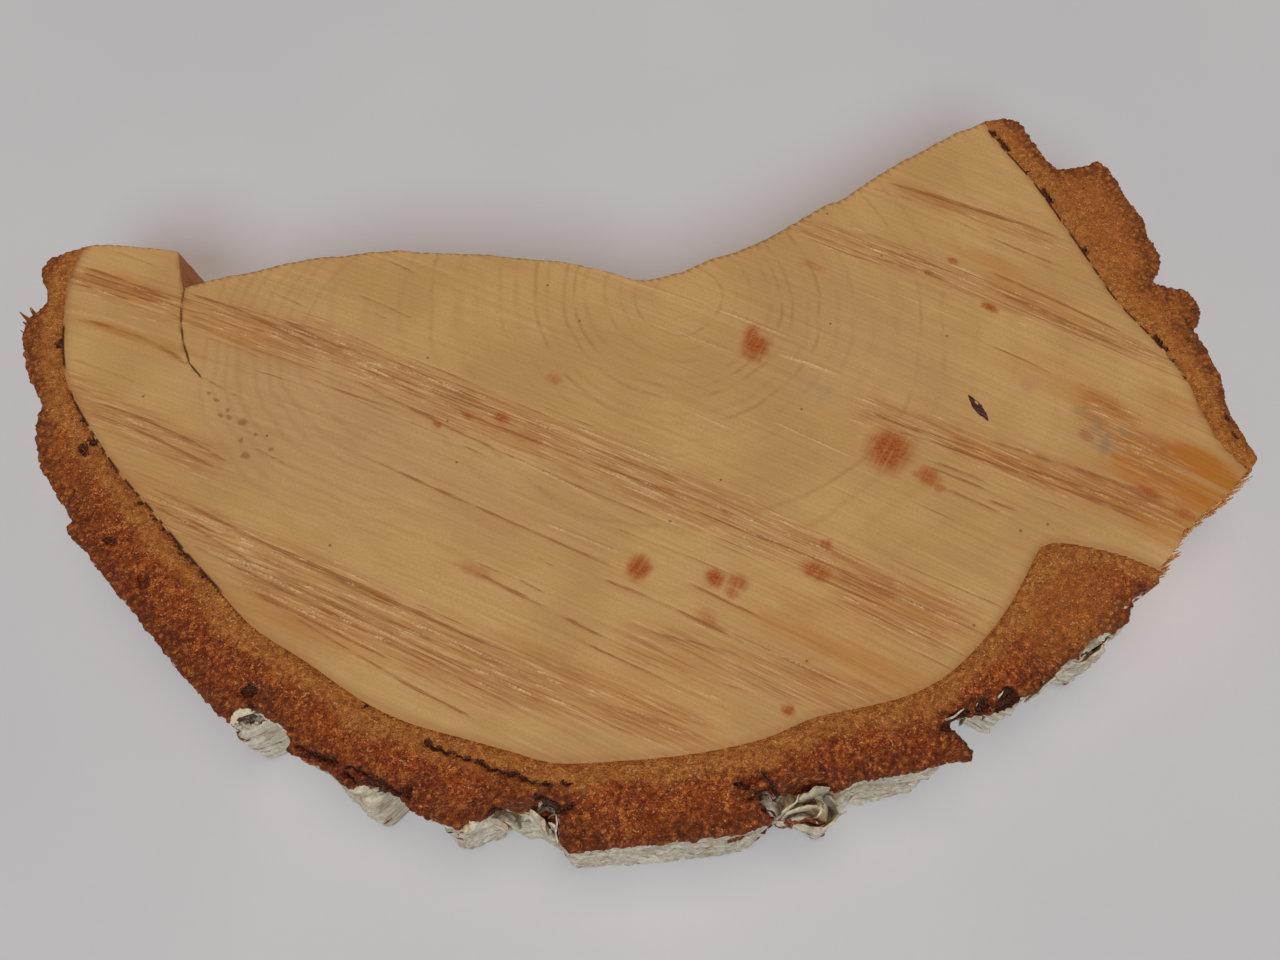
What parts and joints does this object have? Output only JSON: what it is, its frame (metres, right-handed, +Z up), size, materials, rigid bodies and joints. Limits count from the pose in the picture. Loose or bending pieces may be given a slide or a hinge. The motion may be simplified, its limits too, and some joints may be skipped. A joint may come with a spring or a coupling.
{
  "type": "wood slice",
  "caption": "Flat slice of a small log with two sawn faces, split along its back, with thick plated bark round its curved side.",
  "frame": {"origin": "middle of the slice's box, on the sawn underside that it rests on", "axes": "+X along the slice's longest extent towards the broken end, +Y towards the split back edge, +Z up along the grain"},
  "size_m": [0.15, 0.0968, 0.016],
  "materials": {
    "wood": "rough sawn, honey tan with reddish stains",
    "bark": "matt, granular red-brown with pale grey cork on the outer side"
  },
  "bodies": {
    "root": {"wood": "wood", "bark_lower": "bark", "bark_upper": "bark"}
  },
  "joints": []
}
